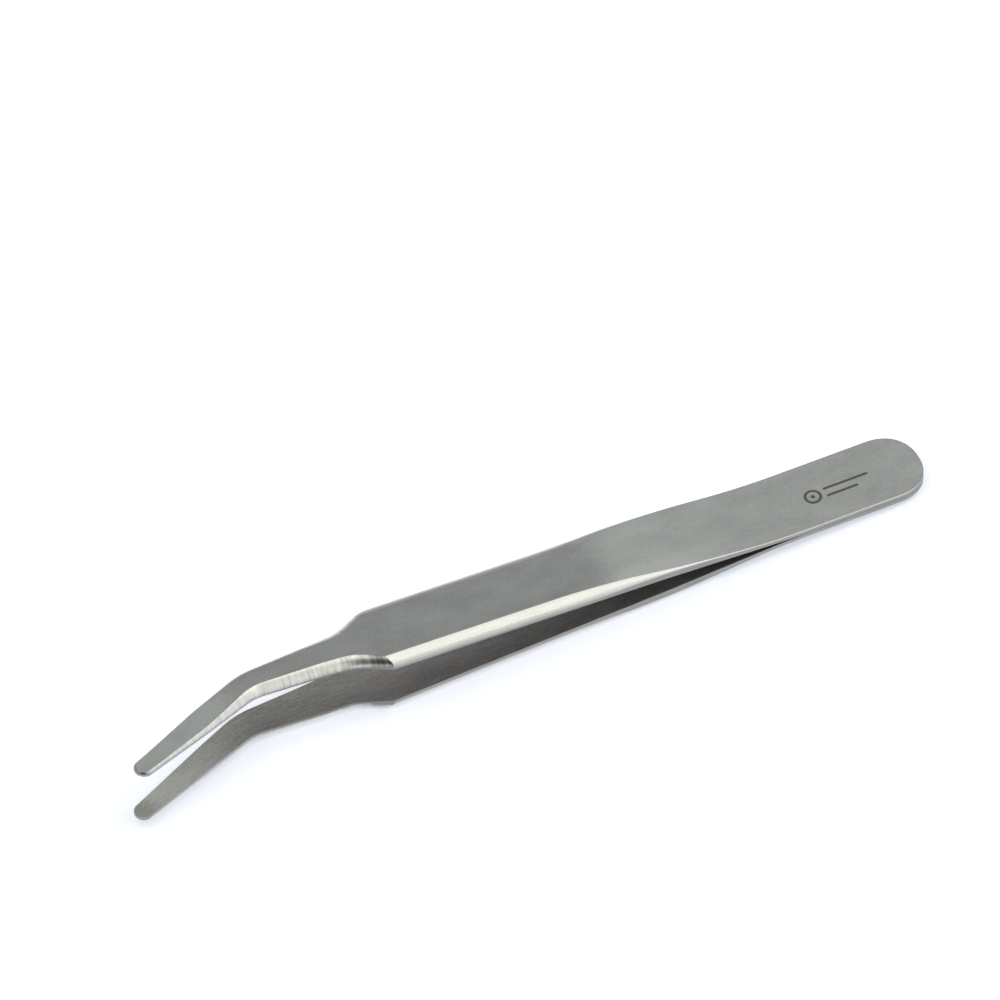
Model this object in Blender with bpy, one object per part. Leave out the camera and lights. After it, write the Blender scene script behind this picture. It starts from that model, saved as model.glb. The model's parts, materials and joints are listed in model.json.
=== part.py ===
"""Precision tweezers with curved tips: two stainless leaves, resistance-welded at the heel.

A leaf is described flat, by its distance from the heel end along its own centre line, and is then bent open.
The lower leaf mirrors the upper one in the plane between them. A leaf is one strip of steel. It is split across
its thin flexure into a heel and an arm, so that the arm can turn about the flexure as the real leaf bends there.

The assembly is laid out about the plane between the leaves: heel end at x = 0, tips towards -X, and the tips bent
sideways towards -Y. Its parent empty then pitches it, so that it lies on the flat grip of its lower leaf.
"""

import math

import bmesh
import bpy
from mathutils import Matrix, Vector

MM = 0.001

# Plan of a leaf, in mm along its centre line from the heel end
LEAF_LENGTH = 121.8
HALF_WIDTH = 5.4  # also the length of the round heel
TIP_RADIUS = 1.35
HEEL_FULLNESS = 2.25  # exponent of the round heel's outline; 2 would be a circle
SHOULDER = 80.75
SHOULDER_SLOPE = 0.49
NECK_SLOPE = 0.065
TIP_SLOPE = 0.04
SHOULDER_TO_NECK = (83.4, 87.4)
NECK_TO_TIP = (97.0, 103.0)
BEND = (98.4, 102.2)
BEND_ANGLE = math.radians(21.6)

# Thickness, in mm
HEEL_THICKNESS = 0.68
GRIP_THICKNESS = 1.7
TIP_THICKNESS = 0.7
RAMP_STARTS = (24.0, 29.0)
RAMP_ENDS = (44.2, 45.8)
TIP_THINS = (98.0, 122.5)

# Rounded outer edges of the strip, in mm: a small break at the heel, a broad round at the grip
HEEL_EDGE = 0.12
GRIP_EDGE_WIDTH = 1.35
GRIP_EDGE_HEIGHT = 1.3
EDGE_GROWS = (33.0, 56.0)
ROUNDNESS = 0.92  # below 1, so the round meets the outer face at a visible edge

# Slanting ground sides of the neck and tip, in mm
LAND = 0.4  # upright strip next to the inner face
GRIND_SHOULDER_WIDTH = 0.98
GRIND_WIDENS = 0.22
GRIND_NARROWS = 0.3
GRIND_FADES = 0.68
GRIND_SHOULDER = (81.0, 84.5)
GRIND_NECK = (86.0, 100.0)
GRIND_TIP = (98.5, 110.5)
GRIND_FLATTENS = (82.0, 90.0)

# Opening of the leaves: slopes of the inner face away from the middle plane, and where each sets in
SEAM = 0.03  # half the gap between the welded heels, in mm
FLEXURE_SLOPE = 0.0655
GRIP_SLOPE = 0.045
FLEXURE_STARTS = (17.4, 25.4)
GRIP_STARTS = (36.0, 44.0)
NECK_LEVELS = (88.0, 93.0)
JAW_STARTS = (103.0, 111.0)

# Flexure
HINGE = 28.0
SPLIT_GAP = 0.3
CLOSED_CLEARANCE = 0.02  # what each jaw keeps to the middle plane when closed
JAW_POINT = 119.5

# Weld nuggets, in mm from the heel end
NUGGET_PLACES = {"weld_nugget_rear": 7.0, "weld_nugget_front": 15.0}
NUGGET_RADIUS = 2.0
NUGGET_HALF_HEIGHT = 0.36
POCKET_RADIUS = 2.1
POCKET_DEPTH = 0.41  # from the middle plane
ROUND_SIDES = 24

STEEL_COLOUR = (0.55, 0.56, 0.54, 1.0)
WELD_COLOUR = (0.36, 0.36, 0.38, 1.0)

# Sections of the leaf's mesh: spans along the leaf with the number of steps in each
CAP_STEPS = 10
EDGE_STEPS = 5
HEEL_SPANS = ((HALF_WIDTH, 19.0, 3), (19.0, HINGE - SPLIT_GAP / 2, 6))
ARM_SPANS = (
    (HINGE + SPLIT_GAP / 2, 29.0, 1),
    (29.0, 40.0, 4),
    (40.0, RAMP_ENDS[0], 2),
    (*RAMP_ENDS, 2),
    (RAMP_ENDS[1], 79.8, 4),  # the flat that the part lies on
    (79.8, 82.0, 8),
    (82.0, 88.0, 8),
    (88.0, 93.0, 4),
    (93.0, BEND[0], 1),
    (*BEND, 8),
    (BEND[1], 113.0, 6),
    (113.0, LEAF_LENGTH - TIP_RADIUS, 3),
)


def share_of(x, span):
    """Where x lies in the span, from 0 at its start to 1 at its end."""
    return min(max((x - span[0]) / (span[1] - span[0]), 0.0), 1.0)


def smooth(x, span):
    """0 before the span, 1 after it, and a smooth step between."""
    u = share_of(x, span)
    return u * u * (3.0 - 2.0 * u)


def smooth_area(x, span):
    """The integral of smooth() up to x: a line that sets in softly."""
    u = share_of(x, span)
    return (span[1] - span[0]) * (u**3 - u**4 / 2.0) + max(x - span[1], 0.0)


def level_gap(x):
    """Half the gap between the inner faces as far as the neck, where they run level."""
    return (
        SEAM
        + FLEXURE_SLOPE * smooth_area(x, FLEXURE_STARTS)
        - (FLEXURE_SLOPE - GRIP_SLOPE) * smooth_area(x, GRIP_STARTS)
        - GRIP_SLOPE * smooth_area(x, NECK_LEVELS)
    )


# The jaws slope by the closing angle, so they meet flat once the arms have turned by it
JAW_SLOPE = (level_gap(JAW_POINT) - CLOSED_CLEARANCE) / (
    JAW_POINT - HINGE - smooth_area(JAW_POINT, JAW_STARTS)
)
PITCH = math.atan(GRIP_SLOPE)


def half_gap(x):
    return level_gap(x) + JAW_SLOPE * smooth_area(x, JAW_STARTS)


def grip_share(along):
    """How far the strip has grown in thickness from heel to grip: 0 to 1."""
    ramp = smooth_area(along, RAMP_STARTS) - smooth_area(along, RAMP_ENDS)
    return ramp / (sum(RAMP_ENDS) / 2.0 - sum(RAMP_STARTS) / 2.0)


def thickness(along):
    grown = (GRIP_THICKNESS - HEEL_THICKNESS) * grip_share(along)
    return HEEL_THICKNESS + grown - (GRIP_THICKNESS - TIP_THICKNESS) * smooth(along, TIP_THINS)


def ground_outline(along):
    """Half width of the ground outline at the inner face. Behind the shoulder it is wider than the strip."""
    return (
        HALF_WIDTH
        - SHOULDER_SLOPE * (along - SHOULDER)
        + (SHOULDER_SLOPE - NECK_SLOPE) * smooth_area(along, SHOULDER_TO_NECK)
        + (NECK_SLOPE - TIP_SLOPE) * smooth_area(along, NECK_TO_TIP)
    )


def grind_width(along):
    """How much narrower a ground side leaves the outer face than the inner face."""
    return (
        GRIND_SHOULDER_WIDTH
        + GRIND_WIDENS * smooth(along, GRIND_SHOULDER)
        - GRIND_NARROWS * share_of(along, GRIND_NECK)
        - GRIND_FADES * smooth(along, GRIND_TIP)
    )


def round_share(height):
    """Inward run of a rounded edge, 0 at its foot and 1 where it meets the outer face."""
    run = 1.0 - math.sqrt(1.0 - (ROUNDNESS * height) ** 2)
    return run / (1.0 - math.sqrt(1.0 - ROUNDNESS**2))


def side_profile(along):
    """(half width, height) pairs in mm up one side of a section, from the inner face to the outer face."""
    widened = smooth(along, EDGE_GROWS)
    top = thickness(along)
    edge_width = HEEL_EDGE + (GRIP_EDGE_WIDTH - HEEL_EDGE) * widened
    edge_height = HEEL_EDGE + (GRIP_EDGE_HEIGHT - HEEL_EDGE) * widened
    land = max(top - edge_height, LAND * smooth(along, RAMP_ENDS))
    flat = smooth(along, GRIND_FLATTENS) / 2.0
    points = [(min(HALF_WIDTH, ground_outline(along)), 0.0)]
    for step in range(EDGE_STEPS + 1):
        share = step / EDGE_STEPS
        rounded = round_share(share)
        strip = HALF_WIDTH - edge_width * rounded
        slant = rounded + (share - rounded) * flat
        ground = ground_outline(along) - grind_width(along) * slant
        points.append((min(strip, ground), land + (top - land) * share))
    return points


def centre_line(along):
    """Point of the leaf's centre line in plan, and its heading as an angle from -X towards -Y."""
    radius = (BEND[1] - BEND[0]) / BEND_ANGLE
    turned = BEND_ANGLE * share_of(along, BEND)
    straight = min(along, BEND[0])
    past = max(along - BEND[1], 0.0)
    x = straight + radius * math.sin(turned) + past * math.cos(BEND_ANGLE)
    y = radius * (1.0 - math.cos(turned)) + past * math.sin(BEND_ANGLE)
    return Vector((-x, -y)), turned


def ring(along, cap_angle=math.pi / 2):
    """One section of a leaf, up its front side and down its back side.

    At a round end the sides swing towards the centre line: cap_angle is 90 degrees on the straight stretch and 0
    at the very end, where both sides meet.
    """
    centre, heading = centre_line(along)
    forward = Vector((-math.cos(heading), -math.sin(heading)))
    across = Vector((forward.y, -forward.x)) * -1.0
    at_heel = along < LEAF_LENGTH / 2
    power = 2.0 / HEEL_FULLNESS if at_heel else 1.0
    outwards = math.sin(cap_angle) ** power
    endwards = math.cos(cap_angle) ** power * (-1.0 if at_heel else 1.0)
    profile = side_profile(along)
    sides = []
    for side in (1.0, -1.0):
        swing = across * side * outwards + forward * endwards
        points = []
        for half_width, height in profile:
            place = centre + swing * half_width
            points.append(Vector((place.x, place.y, half_gap(-place.x) + height)) * MM)
        sides.append(points)
    return sides[0] + sides[1][::-1]


def span_rings(spans):
    """Sections through consecutive spans, without repeating the one that two spans share."""
    places = [spans[0][0]]
    for start, end, steps in spans:
        places += [start + (end - start) * step / steps for step in range(1, steps + 1)]
    return [ring(place) for place in places]


def cap_rings(along):
    """Sections round a round end, from its point to its full width, without the full-width one."""
    return [ring(along, math.pi / 2 * step / CAP_STEPS) for step in range(CAP_STEPS)]


def lofted(name, rings, material):
    """A closed body through the sections. A section whose two sides coincide closes a round end."""
    mesh = bmesh.new()
    loops = [[mesh.verts.new(point) for point in section] for section in rings]
    count = len(loops[0])
    for near, far in zip(loops, loops[1:]):
        for here in range(count):
            following = (here + 1) % count
            mesh.faces.new((near[here], near[following], far[following], far[here]))
    for loop in (loops[0], loops[-1]):
        if (loop[0].co - loop[-1].co).length > 0.1 * MM:
            mesh.faces.new(loop)
    bmesh.ops.remove_doubles(mesh, verts=mesh.verts, dist=0.0001 * MM)
    bmesh.ops.recalc_face_normals(mesh, faces=mesh.faces)
    return finished_object(name, mesh, material)


def finished_object(name, mesh, material):
    data = bpy.data.meshes.new(name)
    mesh.to_mesh(data)
    mesh.free()
    data.shade_smooth()
    data.set_sharp_from_angle(angle=math.radians(15))
    data.materials.append(material)
    piece = bpy.data.objects.new(name, data)
    bpy.context.scene.collection.objects.link(piece)
    return piece


def steel(name, colour, roughness):
    material = bpy.data.materials.new(name)
    material.use_nodes = True
    shader = material.node_tree.nodes["Principled BSDF"]
    shader.inputs["Base Color"].default_value = colour
    shader.inputs["Metallic"].default_value = 1.0
    shader.inputs["Roughness"].default_value = roughness
    return material


def on_side(rings, side):
    """The sections of the leaf above the middle plane (side 1) or of its mirror image below it (side -1)."""
    return [[Vector((p.x, p.y, side * p.z)) for p in section] for section in rings]


def disc(name, place, radius, half_height, material):
    """A short upright cylinder on the middle plane, on the leaf's centre line."""
    mesh = bmesh.new()
    bmesh.ops.create_cone(
        mesh,
        cap_ends=True,
        segments=ROUND_SIDES,
        radius1=radius * MM,
        radius2=radius * MM,
        depth=2 * half_height * MM,
        matrix=Matrix.Translation((-place * MM, 0, 0)),
    )
    return finished_object(name, mesh, material)


def set_origin(piece, point):
    """Moves a piece's origin to the point and leaves its shape where it is."""
    piece.data.transform(Matrix.Translation(-point))
    piece.location = point


def cut_pockets(heel, cutters):
    """Sinks a shallow pocket for each weld nugget into a heel's inner face."""
    for cutter in cutters:
        pocket = heel.modifiers.new(cutter.name, "BOOLEAN")
        pocket.operation = "DIFFERENCE"
        pocket.object = cutter


def hinge_height():
    """Middle of the leaf's thickness at the flexure, in mm above the middle plane."""
    return half_gap(HINGE) + thickness(HINGE) / 2.0


def build():
    for old in list(bpy.data.objects):
        bpy.data.objects.remove(old)

    leaf_steel = steel("satin_steel", STEEL_COLOUR, 0.38)
    weld_steel = steel("weld_steel", WELD_COLOUR, 0.6)

    heel_rings = cap_rings(HALF_WIDTH) + span_rings(HEEL_SPANS)
    tip_rings = cap_rings(LEAF_LENGTH - TIP_RADIUS)
    arm_rings = span_rings(ARM_SPANS) + tip_rings[::-1]

    nuggets, cutters = [], []
    for name, place in NUGGET_PLACES.items():
        nuggets.append(disc(name, place, NUGGET_RADIUS, NUGGET_HALF_HEIGHT, weld_steel))
        cutter = disc(name + "_pocket", place, POCKET_RADIUS, POCKET_DEPTH, weld_steel)
        cutter.hide_render = True
        cutter.display_type = "WIRE"
        cutters.append(cutter)

    assembly = bpy.data.objects.new("assembly", None)
    bpy.context.scene.collection.objects.link(assembly)
    pieces = []
    for leaf, side in (("upper_leaf", 1.0), ("lower_leaf", -1.0)):
        heel = lofted(leaf + "_heel", on_side(heel_rings, side), leaf_steel)
        cut_pockets(heel, cutters)
        arm = lofted(leaf + "_arm", on_side(arm_rings, side), leaf_steel)
        set_origin(arm, Vector((-HINGE, 0.0, side * hinge_height())) * MM)
        pieces += [heel, arm]
    for piece in pieces + nuggets + cutters:
        piece.parent = assembly
    place_on_origin(assembly, pieces)


def place_on_origin(assembly, pieces):
    """Pitches the assembly onto its lower grip, and puts the middle of its footprint on the world origin."""
    assembly.rotation_euler = (0.0, PITCH, 0.0)
    bpy.context.view_layer.update()
    corners = [piece.matrix_world @ vertex.co for piece in pieces for vertex in piece.data.vertices]
    low = [min(corner[axis] for corner in corners) for axis in range(3)]
    high = [max(corner[axis] for corner in corners) for axis in range(3)]
    assembly.location = (-(low[0] + high[0]) / 2, -(low[1] + high[1]) / 2, -low[2])


build()
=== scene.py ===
"""Looks of the precision tweezers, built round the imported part.

A leaf is one strip of spring steel, so one fine, continuous mesh stands for its heel and its arm, and
bends at the flexure. The leaf is described flat, in mm, by its distance from the heel end along its own
centre line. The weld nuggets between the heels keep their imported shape.
"""

import json
import math

import bmesh
import bpy
from mathutils import Matrix, Vector


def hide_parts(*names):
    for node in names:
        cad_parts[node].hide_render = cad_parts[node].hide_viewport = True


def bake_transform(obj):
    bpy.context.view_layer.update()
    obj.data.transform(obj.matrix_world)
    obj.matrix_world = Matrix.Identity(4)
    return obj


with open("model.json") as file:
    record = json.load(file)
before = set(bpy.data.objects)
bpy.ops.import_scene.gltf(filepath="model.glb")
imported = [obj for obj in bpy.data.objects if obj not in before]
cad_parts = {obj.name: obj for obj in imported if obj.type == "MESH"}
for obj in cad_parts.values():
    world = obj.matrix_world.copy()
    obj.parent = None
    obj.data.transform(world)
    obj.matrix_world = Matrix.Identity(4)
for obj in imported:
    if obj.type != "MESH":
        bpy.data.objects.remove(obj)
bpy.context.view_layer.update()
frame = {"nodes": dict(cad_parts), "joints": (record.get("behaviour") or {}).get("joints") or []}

MM = 0.001

# Plan of a leaf, in mm along its centre line from the heel end
LEAF_LENGTH = 121.8
HALF_WIDTH = 5.4  # also the length of the round heel
TIP_RADIUS = 1.35
HEEL_FULLNESS = 2.25  # exponent of the round heel's outline; 2 would be a circle
SHOULDER = 80.75
SHOULDER_SLOPE = 0.49
NECK_SLOPE = 0.065
TIP_SLOPE = 0.04
SHOULDER_TO_NECK = (83.4, 87.4)
NECK_TO_TIP = (97.0, 103.0)
BEND = (98.4, 102.2)
BEND_ANGLE = math.radians(21.6)

# Thickness, in mm
HEEL_THICKNESS = 0.68
GRIP_THICKNESS = 1.7
TIP_THICKNESS = 0.7
RAMP_STARTS = (24.0, 29.0)
RAMP_ENDS = (44.2, 45.8)
TIP_THINS = (98.0, 122.5)

# Rounded outer edges of the strip, in mm
HEEL_EDGE = 0.12
GRIP_EDGE_WIDTH = 1.35
GRIP_EDGE_HEIGHT = 1.3
EDGE_GROWS = (33.0, 56.0)  # from the heel's size to the grip's
ROUNDNESS = 0.92  # below 1, so the round meets the outer face at a visible edge

# Slanting ground sides of the neck and tip, in mm
LAND = 0.4  # upright strip next to the inner face
GRIND_SHOULDER_WIDTH = 0.98
GRIND_WIDENS = 0.22
GRIND_NARROWS = 0.3
GRIND_FADES = 0.68
GRIND_SHOULDER = (81.0, 84.5)
GRIND_NECK = (86.0, 100.0)
GRIND_TIP = (98.5, 110.5)
GRIND_FLATTENS = (82.0, 90.0)
REAR_CORNER_EASE = 0.6  # the rear shoulder corner is eased where strip and ground widths are this close

# Opening of the leaves: slopes of the inner face away from the middle plane, and where each sets in
SEAM = 0.03  # half the gap between the welded heels
FLEXURE_SLOPE = 0.0655
GRIP_SLOPE = 0.045
FLEXURE_STARTS = (17.4, 25.4)
GRIP_STARTS = (36.0, 44.0)
NECK_LEVELS = (88.0, 93.0)
JAW_STARTS = (103.0, 111.0)
HINGE = 28.0
CLOSED_CLEARANCE = 0.02  # what each jaw keeps to the middle plane when closed
JAW_POINT = 119.5

# Pockets for the weld nuggets
NUGGET_PLACES = (7.0, 15.0)
POCKET_RADIUS = 2.1
POCKET_DEPTH = 0.41  # from the middle plane
POCKET_SIDES = 48

# Fineness of the visible mesh, in mm
CORNER = 0.05  # size of the broken corners
CORNER_POINTS = 4
FLANK_STEPS = 12
CAP_STEPS = 24
SAME_PLACE = 0.0001  # vertices closer than this are one
SHARP_ANGLE = math.radians(35)
SPANS = (  # start, end and spacing of the sections
    (HALF_WIDTH, 19.0, 0.8),
    (19.0, 44.0, 0.5),
    (44.0, 48.0, 0.2),
    (48.0, 79.0, 0.8),
    (79.0, 84.5, 0.08),
    (84.5, 96.0, 0.4),
    (96.0, 105.0, 0.25),
    (105.0, LEAF_LENGTH - TIP_RADIUS, 0.4),
)

FLAT = "flat"  # mesh attribute: place on the flat leaf as (along, across, height) in mm
ZONES = ("outer_face", "rounded_edge", "ground_side", "land", "inner_face")

# Generic etched mark on the outer face: a ring with a dot, then two bars. In mm from the mark's centre.
MARK_CENTRE = (12.3, 0.4)
MARK_STROKE = 0.2  # half the width of a line
MARK_EDGE = 0.05  # half the width of a line's soft edge
MARK_RING_AT = 3.6
MARK_RING = 1.05
MARK_DOT = 0.3
MARK_BARS = ((-1.5, -0.65, 3.3), (-0.5, 0.65, 2.3))  # middle along, place across, half length

# Base colours of the steel's surfaces, from dark to light
OUTER_TONES = ((0.30, 0.305, 0.30), (0.66, 0.675, 0.66))
ROUND_TONES = ((0.40, 0.385, 0.355), (0.675, 0.67, 0.635))
GROUND_TONES = ((0.24, 0.232, 0.215), (0.70, 0.69, 0.65))
LAND_TONES = ((0.21, 0.205, 0.195), (0.42, 0.41, 0.40))
INNER_TONES = ((0.205, 0.19, 0.18), (0.62, 0.605, 0.59))
WELD_TONES = ((0.22, 0.2, 0.2), (0.46, 0.45, 0.48))
MARK_COLOUR = (0.15, 0.145, 0.14)
PAD_COLOUR = (0.40, 0.395, 0.345)
WELD_GRAIN = 1500.0  # features per metre
REAR_SIDE = (-0.5, 0.5)  # step across the leaf from its rear side to its front side

# Camera: how far round from the leaf's front side, how far above its middle plane, and what it looks at
CAMERA_TURN = math.radians(26.1)
CAMERA_RISE = math.radians(48.0)
CAMERA_ROLL = math.radians(-0.19)
CAMERA_CENTRE = Vector((-53.36, 18.22, 0.0))  # on the middle plane, mm from the heel end
CAMERA_SPAN = 133.69
CAMERA_DISTANCE = 260.0
CAMERA_CLIP = (0.01, 10.0)  # m

# Studio, in m
FLOOR_HALF_SIZE = 4.0
FLOOR_COLOUR = (0.90, 0.93, 1.0, 1.0)
FLOOR_GLOW_COLOUR = (0.92, 0.935, 1.0, 1.0)
FLOOR_GLOW = 0.33
FLOOR_ROUGHNESS = 0.6
WARM_WHITE = (1.0, 0.985, 0.95)
SOFT_LIGHTS = (  # name, place, size, radiance, colour
    ("overhead", (0.20, -0.15, 0.42), (0.45, 0.56), 1.02, WARM_WHITE),
    ("fill", (-0.28, 0.02, 0.5), (0.36, 0.36), 1.6, (1.0, 1.0, 1.0)),
    ("front", (0.30, -0.56, 0.23), (0.7, 0.42), 0.75, WARM_WHITE),
)
ROOM_LIGHT = 0.53
ROOM_BRIGHT = (0.97, 1.0, 0.98, 1.0)
ROOM_DIM = (0.12, 0.12, 0.12, 1.0)
PHOTOGRAPHER = Vector((-0.40, -0.78, 0.48))  # way to the middle of the studio's dim side
DIM_SIDE = (0.78, 0.96)  # cosines of the angles where the dim side starts and is full


def share_of(x, span):
    """Where x lies in the span, from 0 at its start to 1 at its end."""
    return min(max((x - span[0]) / (span[1] - span[0]), 0.0), 1.0)


def smooth(x, span):
    """0 before the span, 1 after it, and a smooth step between."""
    u = share_of(x, span)
    return u * u * (3.0 - 2.0 * u)


def smooth_area(x, span):
    """The integral of smooth() up to x: a line that sets in softly."""
    u = share_of(x, span)
    return (span[1] - span[0]) * (u**3 - u**4 / 2.0) + max(x - span[1], 0.0)


def level_gap(x):
    """Half the gap between the inner faces as far as the neck, where they run level."""
    return (
        SEAM
        + FLEXURE_SLOPE * smooth_area(x, FLEXURE_STARTS)
        - (FLEXURE_SLOPE - GRIP_SLOPE) * smooth_area(x, GRIP_STARTS)
        - GRIP_SLOPE * smooth_area(x, NECK_LEVELS)
    )


# The jaws slope by the closing angle, so they meet flat once the arms have turned by it
JAW_SLOPE = (level_gap(JAW_POINT) - CLOSED_CLEARANCE) / (
    JAW_POINT - HINGE - smooth_area(JAW_POINT, JAW_STARTS)
)


def half_gap(x):
    return level_gap(x) + JAW_SLOPE * smooth_area(x, JAW_STARTS)


def grip_share(along):
    """How far the strip has grown in thickness from heel to grip: 0 to 1."""
    ramp = smooth_area(along, RAMP_STARTS) - smooth_area(along, RAMP_ENDS)
    return ramp / (sum(RAMP_ENDS) / 2.0 - sum(RAMP_STARTS) / 2.0)


def thickness(along):
    grown = (GRIP_THICKNESS - HEEL_THICKNESS) * grip_share(along)
    return HEEL_THICKNESS + grown - (GRIP_THICKNESS - TIP_THICKNESS) * smooth(along, TIP_THINS)


def ground_outline(along):
    """Half width of the ground outline at the inner face, which is wider than the strip in the grip."""
    return (
        HALF_WIDTH
        - SHOULDER_SLOPE * (along - SHOULDER)
        + (SHOULDER_SLOPE - NECK_SLOPE) * smooth_area(along, SHOULDER_TO_NECK)
        + (NECK_SLOPE - TIP_SLOPE) * smooth_area(along, NECK_TO_TIP)
    )


def grind_width(along):
    """How much narrower a ground side leaves the outer face than the inner face."""
    return (
        GRIND_SHOULDER_WIDTH
        + GRIND_WIDENS * smooth(along, GRIND_SHOULDER)
        - GRIND_NARROWS * share_of(along, GRIND_NECK)
        - GRIND_FADES * smooth(along, GRIND_TIP)
    )


def round_share(height):
    """Inward run of a rounded edge, 0 at its foot and 1 where it meets the outer face."""
    run = 1.0 - math.sqrt(1.0 - (ROUNDNESS * height) ** 2)
    return run / (1.0 - math.sqrt(1.0 - ROUNDNESS**2))


def eased_least(first, second, easing):
    """The smaller of two widths, with the corner where they cross eased."""
    overlap = max(easing - abs(first - second), 0.0)
    return min(first, second) - (overlap**2 / (4.0 * easing) if overlap else 0.0)


def flank(along, easing):
    """(half width, height, ground) up one side, from the top of the land to the outer face."""
    widened = smooth(along, EDGE_GROWS)
    top = thickness(along)
    edge_width = HEEL_EDGE + (GRIP_EDGE_WIDTH - HEEL_EDGE) * widened
    edge_height = HEEL_EDGE + (GRIP_EDGE_HEIGHT - HEEL_EDGE) * widened
    land = max(top - edge_height, LAND * smooth(along, RAMP_ENDS))
    flat = smooth(along, GRIND_FLATTENS) / 2.0
    points = []
    for step in range(FLANK_STEPS + 1):
        share = step / FLANK_STEPS
        rounded = round_share(share)
        strip = HALF_WIDTH - edge_width * rounded
        slant = rounded + (share - rounded) * flat
        ground = ground_outline(along) - grind_width(along) * slant
        width = eased_least(strip, ground, easing)
        points.append((width, land + (top - land) * share, ground < strip))
    return points


def broken_corner(before, corner, after):
    """Points round a corner that has been broken by a light stroke, as (half width, height, ground)."""
    here = Vector(corner[:2])
    ends = []
    for other in (before, after):
        way = Vector(other[:2]) - here
        ends.append(here + way * min(CORNER / max(way.length, CORNER), 0.45))
    points = []
    for step in range(CORNER_POINTS):
        u = step / (CORNER_POINTS - 1)
        place = ends[0] * (1 - u) ** 2 + here * 2 * u * (1 - u) + ends[1] * u**2
        points.append((*place, corner[2]))
    return points


def side_profile(along, easing):
    """(half width, height, ground) up one side of a section, from the inner face to the outer face."""
    rise = flank(along, easing)
    foot = (eased_least(HALF_WIDTH, ground_outline(along), easing), 0.0, rise[0][2])
    inside = (0.0, 0.0, False)
    outside = (0.0, rise[-1][1], False)
    return (
        broken_corner(inside, foot, rise[0])
        + broken_corner(foot, rise[0], rise[1])
        + rise[1:-1]
        + broken_corner(rise[-2], rise[-1], outside)
    )


def centre_line(along):
    """Point of the leaf's centre line in plan, and its heading as an angle from -X towards -Y."""
    radius = (BEND[1] - BEND[0]) / BEND_ANGLE
    turned = BEND_ANGLE * share_of(along, BEND)
    straight = min(along, BEND[0])
    past = max(along - BEND[1], 0.0)
    x = straight + radius * math.sin(turned) + past * math.cos(BEND_ANGLE)
    y = radius * (1.0 - math.cos(turned)) + past * math.sin(BEND_ANGLE)
    return Vector((-x, -y)), turned


def ring(along, side, cap_angle=math.pi / 2):
    """One section of a leaf, up its front side and down its rear side, as (place, flat place, ground).

    At a round end the sides swing towards the centre line: cap_angle is 90 degrees on the straight stretch
    and 0 at the very end, where both sides meet.
    """
    centre, heading = centre_line(along)
    forward = Vector((-math.cos(heading), -math.sin(heading)))
    across = Vector((-forward.y, forward.x))
    at_heel = along < LEAF_LENGTH / 2
    power = 2.0 / HEEL_FULLNESS if at_heel else 1.0
    outwards = math.sin(cap_angle) ** power
    endwards = math.cos(cap_angle) ** power * (-1.0 if at_heel else 1.0)
    sides = []
    for front, easing in ((1.0, 0.0), (-1.0, REAR_CORNER_EASE)):
        profile = side_profile(along, easing)
        swing = across * front * outwards + forward * endwards
        points = []
        for half_width, height, ground in profile:
            place = centre + swing * half_width
            lifted = Vector((place.x, place.y, side * (half_gap(-place.x) + height))) * MM
            flat = Vector((along + endwards * half_width, front * outwards * half_width, height))
            points.append((lifted, flat, ground))
        sides.append(points)
    return sides[0] + sides[1][::-1]


def leaf_rings(side):
    """Sections of a whole leaf, from the heel's end to the tip. The lower leaf has side -1."""
    turns = [math.pi / 2 * step / CAP_STEPS for step in range(CAP_STEPS)]
    rings = [ring(HALF_WIDTH, side, turn) for turn in turns]
    for start, end, spacing in SPANS:
        steps = math.ceil((end - start) / spacing)
        rings += [ring(start + (end - start) * step / steps, side) for step in range(steps)]
    tip = LEAF_LENGTH - TIP_RADIUS
    return rings + [ring(tip, side)] + [ring(tip, side, turn) for turn in reversed(turns)]


def zone_of(column, count, corners):
    """Index in ZONES of a face, from its column round the section and its corners' ground marks."""
    side_count = count // 2
    if column == side_count - 1:
        return ZONES.index("outer_face")
    if column == count - 1:
        return ZONES.index("inner_face")
    from_inside = column if column < side_count else count - 2 - column
    if from_inside < CORNER_POINTS:
        return ZONES.index("land")
    return ZONES.index("ground_side" if sum(corners) >= 2 else "rounded_edge")


def leaf_mesh(name, side):
    """A leaf as a closed mesh in the middle plane's own coordinates."""
    rings = leaf_rings(side)
    count = len(rings[0])
    body = bmesh.new()
    flat_layer = body.verts.layers.float_vector.new(FLAT)
    loops = []
    for section in rings:
        loop = []
        for place, flat, _ in section:
            vertex = body.verts.new(place)
            vertex[flat_layer] = flat
            loop.append(vertex)
        loops.append(loop)
    for row, (near, far) in enumerate(zip(loops, loops[1:])):
        for here in range(count):
            following = (here + 1) % count
            face = body.faces.new((near[here], near[following], far[following], far[here]))
            marks = [rings[row + end][at][2] for end in (0, 1) for at in (here, following)]
            face.material_index = zone_of(here, count, marks)
    bmesh.ops.remove_doubles(body, verts=body.verts, dist=SAME_PLACE * MM)
    bmesh.ops.recalc_face_normals(body, faces=body.faces)
    data = bpy.data.meshes.new(name)
    body.to_mesh(data)
    body.free()
    return data


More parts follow.
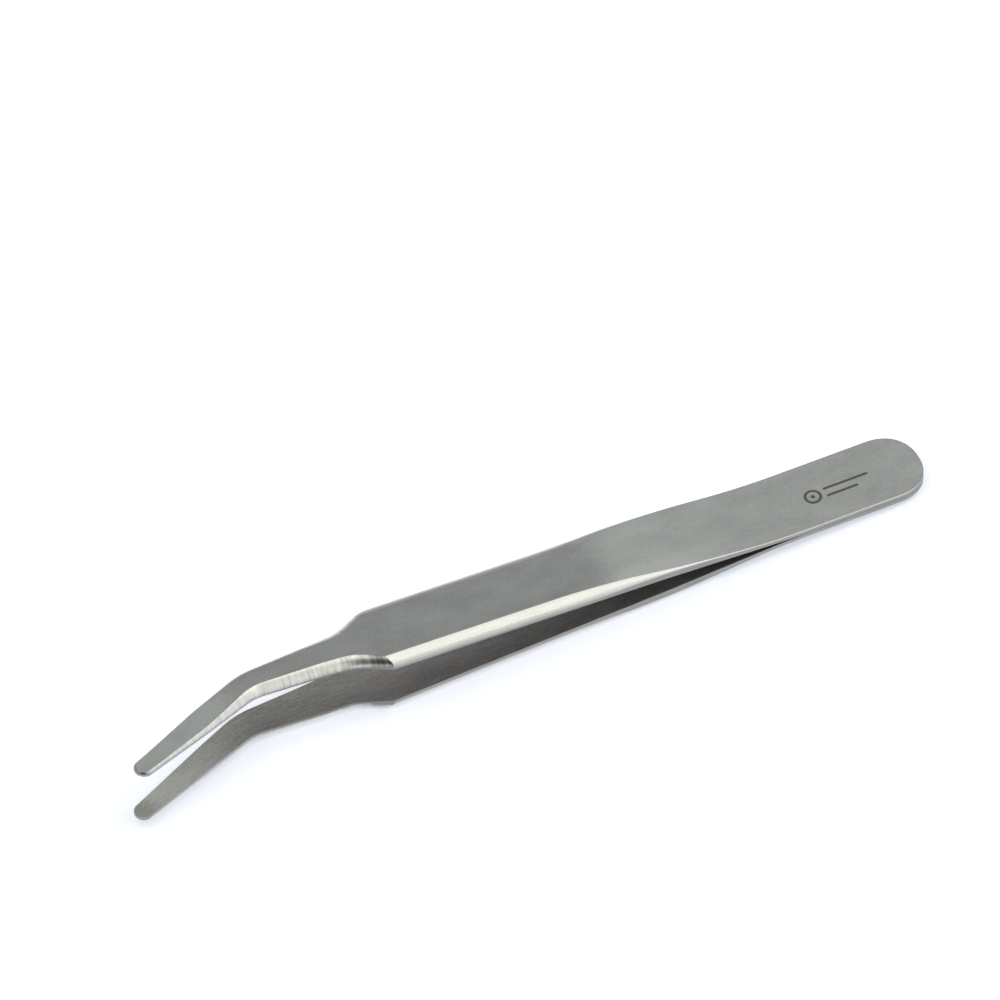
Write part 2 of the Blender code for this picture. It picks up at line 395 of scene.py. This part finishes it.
def cut_pockets(leaf):
    """Sinks a shallow pocket for each weld nugget into the leaf's inner face."""
    cutters = []
    for place in NUGGET_PLACES:
        body = bmesh.new()
        bmesh.ops.create_cone(
            body,
            cap_ends=True,
            segments=POCKET_SIDES,
            radius1=POCKET_RADIUS * MM,
            radius2=POCKET_RADIUS * MM,
            depth=2 * POCKET_DEPTH * MM,
            matrix=Matrix.Translation((-place * MM, 0, 0)),
        )
        data = bpy.data.meshes.new("pocket")
        body.to_mesh(data)
        body.free()
        cutter = bpy.data.objects.new("pocket", data)
        bpy.context.scene.collection.objects.link(cutter)
        cutters.append(cutter)
        pocket = leaf.modifiers.new("pocket", "BOOLEAN")
        pocket.operation = "DIFFERENCE"
        pocket.object = cutter
    graph = bpy.context.evaluated_depsgraph_get()
    cut = bpy.data.meshes.new_from_object(
        leaf.evaluated_get(graph), preserve_all_data_layers=True, depsgraph=graph
    )
    leaf.modifiers.clear()
    leaf.data = cut
    for cutter in cutters:
        bpy.data.objects.remove(cutter)


def middle_plane():
    """Carries coordinates about the plane between the leaves, heel end at x = 0, to the part's frame."""
    pins = {joint["name"]: Vector(joint["pos_m"]) for joint in frame["joints"]}
    upper, lower = pins["upper_flexure"], pins["lower_flexure"]
    normal = (upper - lower).normalized()
    across = Vector((0.0, 1.0, 0.0))
    lengthwise = across.cross(normal)
    origin = (upper + lower) / 2 + lengthwise * HINGE * MM
    turn = Matrix((lengthwise, across, normal)).transposed().to_4x4()
    return Matrix.Translation(origin) @ turn


def make_leaf(name, side, placement, materials):
    leaf = bpy.data.objects.new(name, leaf_mesh(name, side))
    bpy.context.scene.collection.objects.link(leaf)
    for zone in ZONES:
        leaf.data.materials.append(materials[zone])
    cut_pockets(leaf)
    leaf.data.transform(placement)
    leaf.data.shade_smooth()
    leaf.data.set_sharp_from_angle(angle=SHARP_ANGLE)
    shading = leaf.modifiers.new("shading", "WEIGHTED_NORMAL")
    shading.keep_sharp = True
    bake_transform(leaf)
    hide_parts(name + "_heel", name + "_arm")


class Steel:
    """A steel material, built up node by node on the leaf's flat coordinates in mm."""

    def __init__(self, name, colour, roughness):
        self.material = bpy.data.materials.new(name)
        self.material.use_nodes = True
        self.tree = self.material.node_tree
        self.shader = self.tree.nodes["Principled BSDF"]
        self.shader.inputs["Base Color"].default_value = (*colour, 1.0)
        self.shader.inputs["Metallic"].default_value = 1.0
        self.shader.inputs["Roughness"].default_value = roughness
        place = self.tree.nodes.new("ShaderNodeAttribute")
        place.attribute_name = FLAT
        self.flat = place.outputs["Vector"]
        parts = self.tree.nodes.new("ShaderNodeSeparateXYZ")
        self.tree.links.new(self.flat, parts.inputs[0])
        self.along, self.across, self.height = parts.outputs

    def plug(self, socket, value):
        if isinstance(value, bpy.types.NodeSocket):
            self.tree.links.new(value, socket)
        else:
            socket.default_value = value

    def math(self, operation, first, second=0.0):
        node = self.tree.nodes.new("ShaderNodeMath")
        node.operation = operation
        self.plug(node.inputs[0], first)
        self.plug(node.inputs[1], second)
        return node.outputs[0]

    def total(self, *terms):
        result = terms[0]
        for term in terms[1:]:
            result = self.math("ADD", result, term)
        return result

    def ease(self, value, span, ends=(0.0, 1.0)):
        """A smooth step from ends[0] to ends[1] as the value crosses the span."""
        node = self.tree.nodes.new("ShaderNodeMapRange")
        node.interpolation_type = "SMOOTHSTEP"
        self.plug(node.inputs["Value"], value)
        for name, setting in zip(("From Min", "From Max", "To Min", "To Max"), (*span, *ends)):
            node.inputs[name].default_value = setting
        return node.outputs["Result"]

    def noise(self, along, across, detail=3.0, shift=0.0):
        """Noise from 0 to 1 with so many features per mm along and across the leaf."""
        scale = self.tree.nodes.new("ShaderNodeVectorMath")
        scale.operation = "MULTIPLY_ADD"
        self.plug(scale.inputs[0], self.flat)
        scale.inputs[1].default_value = (along, across, across)
        scale.inputs[2].default_value = (shift, shift, shift)
        node = self.tree.nodes.new("ShaderNodeTexNoise")
        node.inputs["Scale"].default_value = 1.0
        node.inputs["Detail"].default_value = detail
        self.plug(node.inputs["Vector"], scale.outputs[0])
        return node.outputs["Fac"]

    def about(self, noise, amount):
        """Noise turned into a swing of this much either side of 0."""
        return self.math("MULTIPLY", self.math("SUBTRACT", noise, 0.5), 2.0 * amount)

    def tone(self, factor, start, end):
        """Colour from start at 0 to end at 1. The start may be a socket."""
        node = self.tree.nodes.new("ShaderNodeMix")
        node.data_type = "RGBA"
        node.clamp_factor = True
        colours = [socket for socket in node.inputs if socket.type == "RGBA"]
        self.plug(node.inputs["Factor"], factor)
        self.plug(colours[0], start if isinstance(start, bpy.types.NodeSocket) else (*start, 1.0))
        self.plug(colours[1], (*end, 1.0))
        return next(socket for socket in node.outputs if socket.type == "RGBA")

    def paint(self, colour):
        self.tree.links.new(colour, self.shader.inputs["Base Color"])

    def roughen(self, roughness):
        self.tree.links.new(roughness, self.shader.inputs["Roughness"])

    def emboss(self, height, depth):
        """Raises the surface by the height, 0 to 1, times the depth in mm."""
        node = self.tree.nodes.new("ShaderNodeBump")
        node.inputs["Distance"].default_value = depth * MM
        self.plug(node.inputs["Height"], height)
        self.tree.links.new(node.outputs["Normal"], self.shader.inputs["Normal"])


def etched_mark(steel):
    """1 inside the etched mark, 0 outside it."""
    wobble = steel.about(steel.noise(6.0, 6.0, 2.0), 0.06)
    along = steel.total(steel.along, -MARK_CENTRE[0], wobble)
    across = steel.total(steel.across, -MARK_CENTRE[1], wobble)

    def inside(distance, limit):
        return steel.ease(distance, (limit - MARK_EDGE, limit + MARK_EDGE), (1.0, 0.0))

    def bar(middle, level, half_length):
        length = steel.math("ABSOLUTE", steel.math("SUBTRACT", along, middle))
        width = steel.math("ABSOLUTE", steel.math("SUBTRACT", across, level))
        return steel.math("MULTIPLY", inside(length, half_length), inside(width, MARK_STROKE))

    reach = steel.math("SUBTRACT", along, MARK_RING_AT)
    radius = steel.math(
        "SQRT", steel.total(steel.math("POWER", reach, 2.0), steel.math("POWER", across, 2.0))
    )
    ring_line = inside(steel.math("ABSOLUTE", steel.math("SUBTRACT", radius, MARK_RING)), MARK_STROKE)
    bars = [bar(*place) for place in MARK_BARS]
    return steel.math("MINIMUM", steel.total(ring_line, inside(radius, MARK_DOT), *bars), 1.0)


def outer_face():
    """Satin outer face: fine mottling, a faint grain, clouds, small bright nicks and the etched mark, with
    painted reflection lighter up the ramp and at the tip, painted shade past the kink and a painted sheen
    towards the front edge.
    """
    steel = Steel("outer_face", (0.56, 0.57, 0.55), 0.36)
    mottle = steel.noise(3.0, 3.6, 3.0)
    grain = steel.noise(0.4, 4.0, 3.0, 13.0)
    cloud = steel.noise(0.2, 0.4, 4.0, 7.0)
    nicks = steel.ease(steel.noise(0.9, 2.6, 2.0, 21.0), (0.72, 0.80), (0.0, 0.4))
    mark = etched_mark(steel)
    # Painted reflection and shade along the length: lighter up the thickness ramp, darker past the kink,
    # lighter towards the tip.
    ramp = steel.ease(steel.along, (24.0, 42.0), (0.62, 0.76))
    kink_shade = steel.ease(steel.along, (44.0, 51.0), (0.0, -0.43))
    tip = steel.ease(steel.along, (97.0, 111.0), (0.0, 0.30))
    # Painted sheen: lighter towards the front edge where the outer face slopes up the thickness ramp.
    front_edge_sheen = steel.math(
        "MULTIPLY",
        steel.ease(steel.across, (1.5, 4.8), (0.0, 0.34)),
        steel.math(
            "SUBTRACT",
            steel.ease(steel.along, (26.0, 38.0)),
            steel.ease(steel.along, (45.0, 50.0)),
        ),
    )
    texture = steel.total(
        steel.about(mottle, 0.26), steel.about(grain, 0.08), steel.about(cloud, 0.25), nicks
    )
    bare = steel.tone(steel.total(ramp, kink_shade, tip, front_edge_sheen, texture), *OUTER_TONES)
    steel.paint(steel.tone(mark, bare, MARK_COLOUR))
    neck = steel.ease(steel.along, (46.0, 92.0), (0.0, -0.04))
    heel = steel.ease(steel.along, (20.0, 46.0), (0.04, 0.0))
    steel.roughen(
        steel.total(0.36, neck, heel, steel.about(mottle, 0.06), steel.math("MULTIPLY", mark, 0.2))
    )
    relief = steel.total(grain, mottle, steel.math("MULTIPLY", mark, -2.0))
    steel.emboss(relief, 0.0012)
    return steel.material


def rounded_edge():
    """Bright, finely brushed round of the strip, with painted shade towards its foot and at the rear."""
    steel = Steel("rounded_edge", (0.66, 0.65, 0.62), 0.28)
    grain = steel.noise(0.14, 4.0, 4.0, 3.0)
    mottle = steel.noise(1.5, 3.0, 3.0, 9.0)
    # Painted sheen and shade: lighter up the round towards the outer face, darker towards its foot.
    painted_light_by_height = steel.ease(steel.height, (0.3, 1.3), (0.0, 0.78))
    # Painted shade: darker on the rear side.
    rear = steel.ease(steel.across, REAR_SIDE, (-0.35, 0.0))
    shade = steel.total(painted_light_by_height, rear, steel.about(grain, 0.35), steel.about(mottle, 0.15))
    steel.paint(steel.tone(shade, *ROUND_TONES))
    steel.roughen(steel.total(0.28, steel.about(grain, 0.08)))
    steel.emboss(grain, 0.0012)
    return steel.material


def ground_side():
    """Cross-ground side of shoulder, neck and tip: upright strokes, with painted shade darkest at the
    front shoulder and towards the foot.
    """
    steel = Steel("ground_side", (0.62, 0.61, 0.58), 0.34)
    strokes = steel.noise(1.7, 0.18, 4.0, 5.0)
    fine = steel.noise(9.0, 0.5, 2.0, 15.0)
    # Painted shade: the front side is darkest just past the shoulder; the rear side stays light.
    rear = steel.ease(steel.across, REAR_SIDE, (0.85, 0.2))
    front = steel.ease(steel.along, (SHOULDER + 1.8, SHOULDER + 4.6), (0.2, 0.85))
    base = steel.math("MAXIMUM", front, rear)
    depth = steel.ease(steel.along, (SHOULDER, SHOULDER + 30.0), (1.9, 0.7))
    swing = steel.math("MULTIPLY", steel.math("SUBTRACT", strokes, 0.5), depth)
    # Painted shade: darker towards the foot of the ground side.
    painted_light_by_height = steel.ease(steel.height, (0.4, 0.8), (-0.35, 0.0))
    tip_end = steel.ease(steel.along, (LEAF_LENGTH - 1.6, LEAF_LENGTH - 0.8), (0.0, -0.45))
    shade = steel.total(base, swing, painted_light_by_height, tip_end, steel.about(fine, 0.25))
    steel.paint(steel.tone(shade, *GROUND_TONES))
    steel.roughen(steel.total(0.34, steel.about(strokes, 0.1)))
    steel.emboss(steel.total(strokes, fine), 0.003)
    return steel.material


def land():
    """Upright strip between the round and the inner face, with its broken corner."""
    steel = Steel("land", (0.60, 0.59, 0.56), 0.36)
    grain = steel.noise(0.3, 6.0, 3.0, 11.0)
    # Painted shade and reflection: darker past the shoulder, lighter towards the tip.
    neck = steel.ease(steel.along, (SHOULDER - 3.0, SHOULDER + 3.0), (0.5, 0.1))
    tip = steel.ease(steel.along, (92.0, 104.0), (0.0, 0.5))
    shade = steel.total(neck, tip, steel.about(grain, 0.5))
    steel.paint(steel.tone(shade, *LAND_TONES))
    steel.roughen(steel.total(0.36, steel.about(grain, 0.08)))
    steel.emboss(grain, 0.001)
    return steel.material


def inner_face():
    """Brushed inner face, a little warmer, with a few long scratches and a duller pad at the jaw's tip."""
    steel = Steel("inner_face", (0.54, 0.52, 0.49), 0.38)
    grain = steel.noise(0.3, 4.0, 4.0, 17.0)
    mottle = steel.noise(1.8, 2.6, 4.0, 23.0)
    cloud = steel.noise(0.1, 0.3, 3.0, 29.0)
    scratches = steel.ease(steel.noise(0.35, 3.2, 1.0, 41.0), (0.70, 0.76), (0.0, 0.3))
    pad_edge = steel.total(steel.along, steel.about(mottle, 2.6))
    pad = steel.ease(pad_edge, (LEAF_LENGTH - 4.2, LEAF_LENGTH - 1.2))
    # Painted shade and reflection: darker along the neck, where the leaves close in, and lighter on the
    # jaw past the bend.
    neck = steel.ease(steel.along, (78.0, 92.0), (0.55, 0.3))
    jaw = steel.ease(steel.along, (97.0, 117.0), (0.0, 0.66))
    texture = steel.total(
        steel.about(grain, 0.36), steel.about(mottle, 0.3), steel.about(cloud, 0.25), scratches
    )
    bare = steel.tone(steel.total(neck, jaw, texture), *INNER_TONES)
    steel.paint(steel.tone(pad, bare, PAD_COLOUR))
    steel.roughen(steel.total(0.38, steel.about(grain, 0.08), steel.math("MULTIPLY", pad, 0.08)))
    steel.emboss(steel.total(grain, mottle), 0.0015)
    return steel.material


def weld_steel():
    """Dull, heat-stained metal of the weld nuggets, which only a section through the heel would show."""
    steel = Steel("weld_steel", (0.36, 0.35, 0.36), 0.6)
    place = steel.tree.nodes.new("ShaderNodeTexCoord")
    grain = steel.tree.nodes.new("ShaderNodeTexNoise")
    grain.inputs["Scale"].default_value = WELD_GRAIN
    grain.inputs["Detail"].default_value = 4.0
    steel.tree.links.new(place.outputs["Object"], grain.inputs["Vector"])
    steel.paint(steel.tone(grain.outputs["Fac"], *WELD_TONES))
    steel.roughen(steel.total(0.6, steel.about(grain.outputs["Fac"], 0.15)))
    steel.emboss(grain.outputs["Fac"], 0.01)
    return steel.material


def make_floor():
    """A white light table with a faint cool cast."""
    body = bmesh.new()
    bmesh.ops.create_grid(body, x_segments=1, y_segments=1, size=FLOOR_HALF_SIZE)
    data = bpy.data.meshes.new("floor")
    body.to_mesh(data)
    body.free()
    floor = bpy.data.objects.new("floor", data)
    bpy.context.scene.collection.objects.link(floor)
    material = bpy.data.materials.new("table")
    material.use_nodes = True
    tree = material.node_tree
    shader = tree.nodes["Principled BSDF"]
    shader.inputs["Base Color"].default_value = FLOOR_COLOUR
    shader.inputs["Roughness"].default_value = FLOOR_ROUGHNESS
    shader.inputs["Emission Color"].default_value = FLOOR_GLOW_COLOUR
    shader.inputs["Emission Strength"].default_value = FLOOR_GLOW
    data.materials.append(material)


def soft_light(name, place, size, radiance, colour):
    """A rectangular soft light of this radiance that faces the part."""
    data = bpy.data.lights.new(name, "AREA")
    data.shape = "RECTANGLE"
    data.size, data.size_y = size
    data.energy = radiance * math.pi * size[0] * size[1]
    data.color = colour
    light = bpy.data.objects.new(name, data)
    light.location = place
    light.rotation_euler = Vector(place).to_track_quat("Z", "Y").to_euler()
    light.visible_camera = False
    bpy.context.scene.collection.objects.link(light)


def light_studio():
    """Two soft lights above and one in front, in a pale studio that is dim behind the camera."""
    for light in SOFT_LIGHTS:
        soft_light(*light)
    world = bpy.data.worlds.new("studio")
    bpy.context.scene.world = world
    world.use_nodes = True
    tree = world.node_tree
    background = tree.nodes["Background"]
    background.inputs["Strength"].default_value = ROOM_LIGHT
    place = tree.nodes.new("ShaderNodeTexCoord")
    nearness = tree.nodes.new("ShaderNodeVectorMath")
    nearness.operation = "DOT_PRODUCT"
    nearness.inputs[1].default_value = PHOTOGRAPHER.normalized()
    tree.links.new(place.outputs["Generated"], nearness.inputs[0])
    dimming = tree.nodes.new("ShaderNodeMapRange")
    dimming.interpolation_type = "SMOOTHSTEP"
    dimming.inputs["From Min"].default_value = DIM_SIDE[0]
    dimming.inputs["From Max"].default_value = DIM_SIDE[1]
    tree.links.new(nearness.outputs["Value"], dimming.inputs["Value"])
    colour = tree.nodes.new("ShaderNodeMix")
    colour.data_type = "RGBA"
    sockets = [socket for socket in colour.inputs if socket.type == "RGBA"]
    sockets[0].default_value = ROOM_BRIGHT
    sockets[1].default_value = ROOM_DIM
    tree.links.new(dimming.outputs["Result"], colour.inputs["Factor"])
    mixed = next(socket for socket in colour.outputs if socket.type == "RGBA")
    tree.links.new(mixed, background.inputs["Color"])


def place_camera(placement):
    """An orthographic camera seen from the front side, well above the leaves."""
    turn, rise = CAMERA_TURN, CAMERA_RISE
    back = Vector((-math.sin(turn) * math.cos(rise), -math.cos(turn) * math.cos(rise), math.sin(rise)))
    level = Vector((math.cos(turn), -math.sin(turn), 0.0))
    right = Matrix.Rotation(CAMERA_ROLL, 3, back) @ level
    up = back.cross(right)
    data = bpy.data.cameras.new("camera")
    data.type = "ORTHO"
    data.ortho_scale = CAMERA_SPAN * MM
    data.clip_start, data.clip_end = CAMERA_CLIP
    camera = bpy.data.objects.new("camera", data)
    stance = Matrix((right, up, back)).transposed().to_4x4()
    stance.translation = (CAMERA_CENTRE + back * CAMERA_DISTANCE) * MM
    camera.matrix_world = placement @ stance
    bpy.context.scene.collection.objects.link(camera)
    bpy.context.scene.camera = camera


placement = middle_plane()
zone_materials = {
    "outer_face": outer_face(),
    "rounded_edge": rounded_edge(),
    "ground_side": ground_side(),
    "land": land(),
    "inner_face": inner_face(),
}
make_leaf("upper_leaf", 1.0, placement, zone_materials)
make_leaf("lower_leaf", -1.0, placement, zone_materials)
nugget_steel = weld_steel()
for nugget in ("weld_nugget_rear", "weld_nugget_front"):
    for slot in frame["nodes"][nugget].material_slots:
        slot.material = nugget_steel
make_floor()
light_studio()
place_camera(placement)
bpy.context.scene.view_settings.view_transform = "Standard"
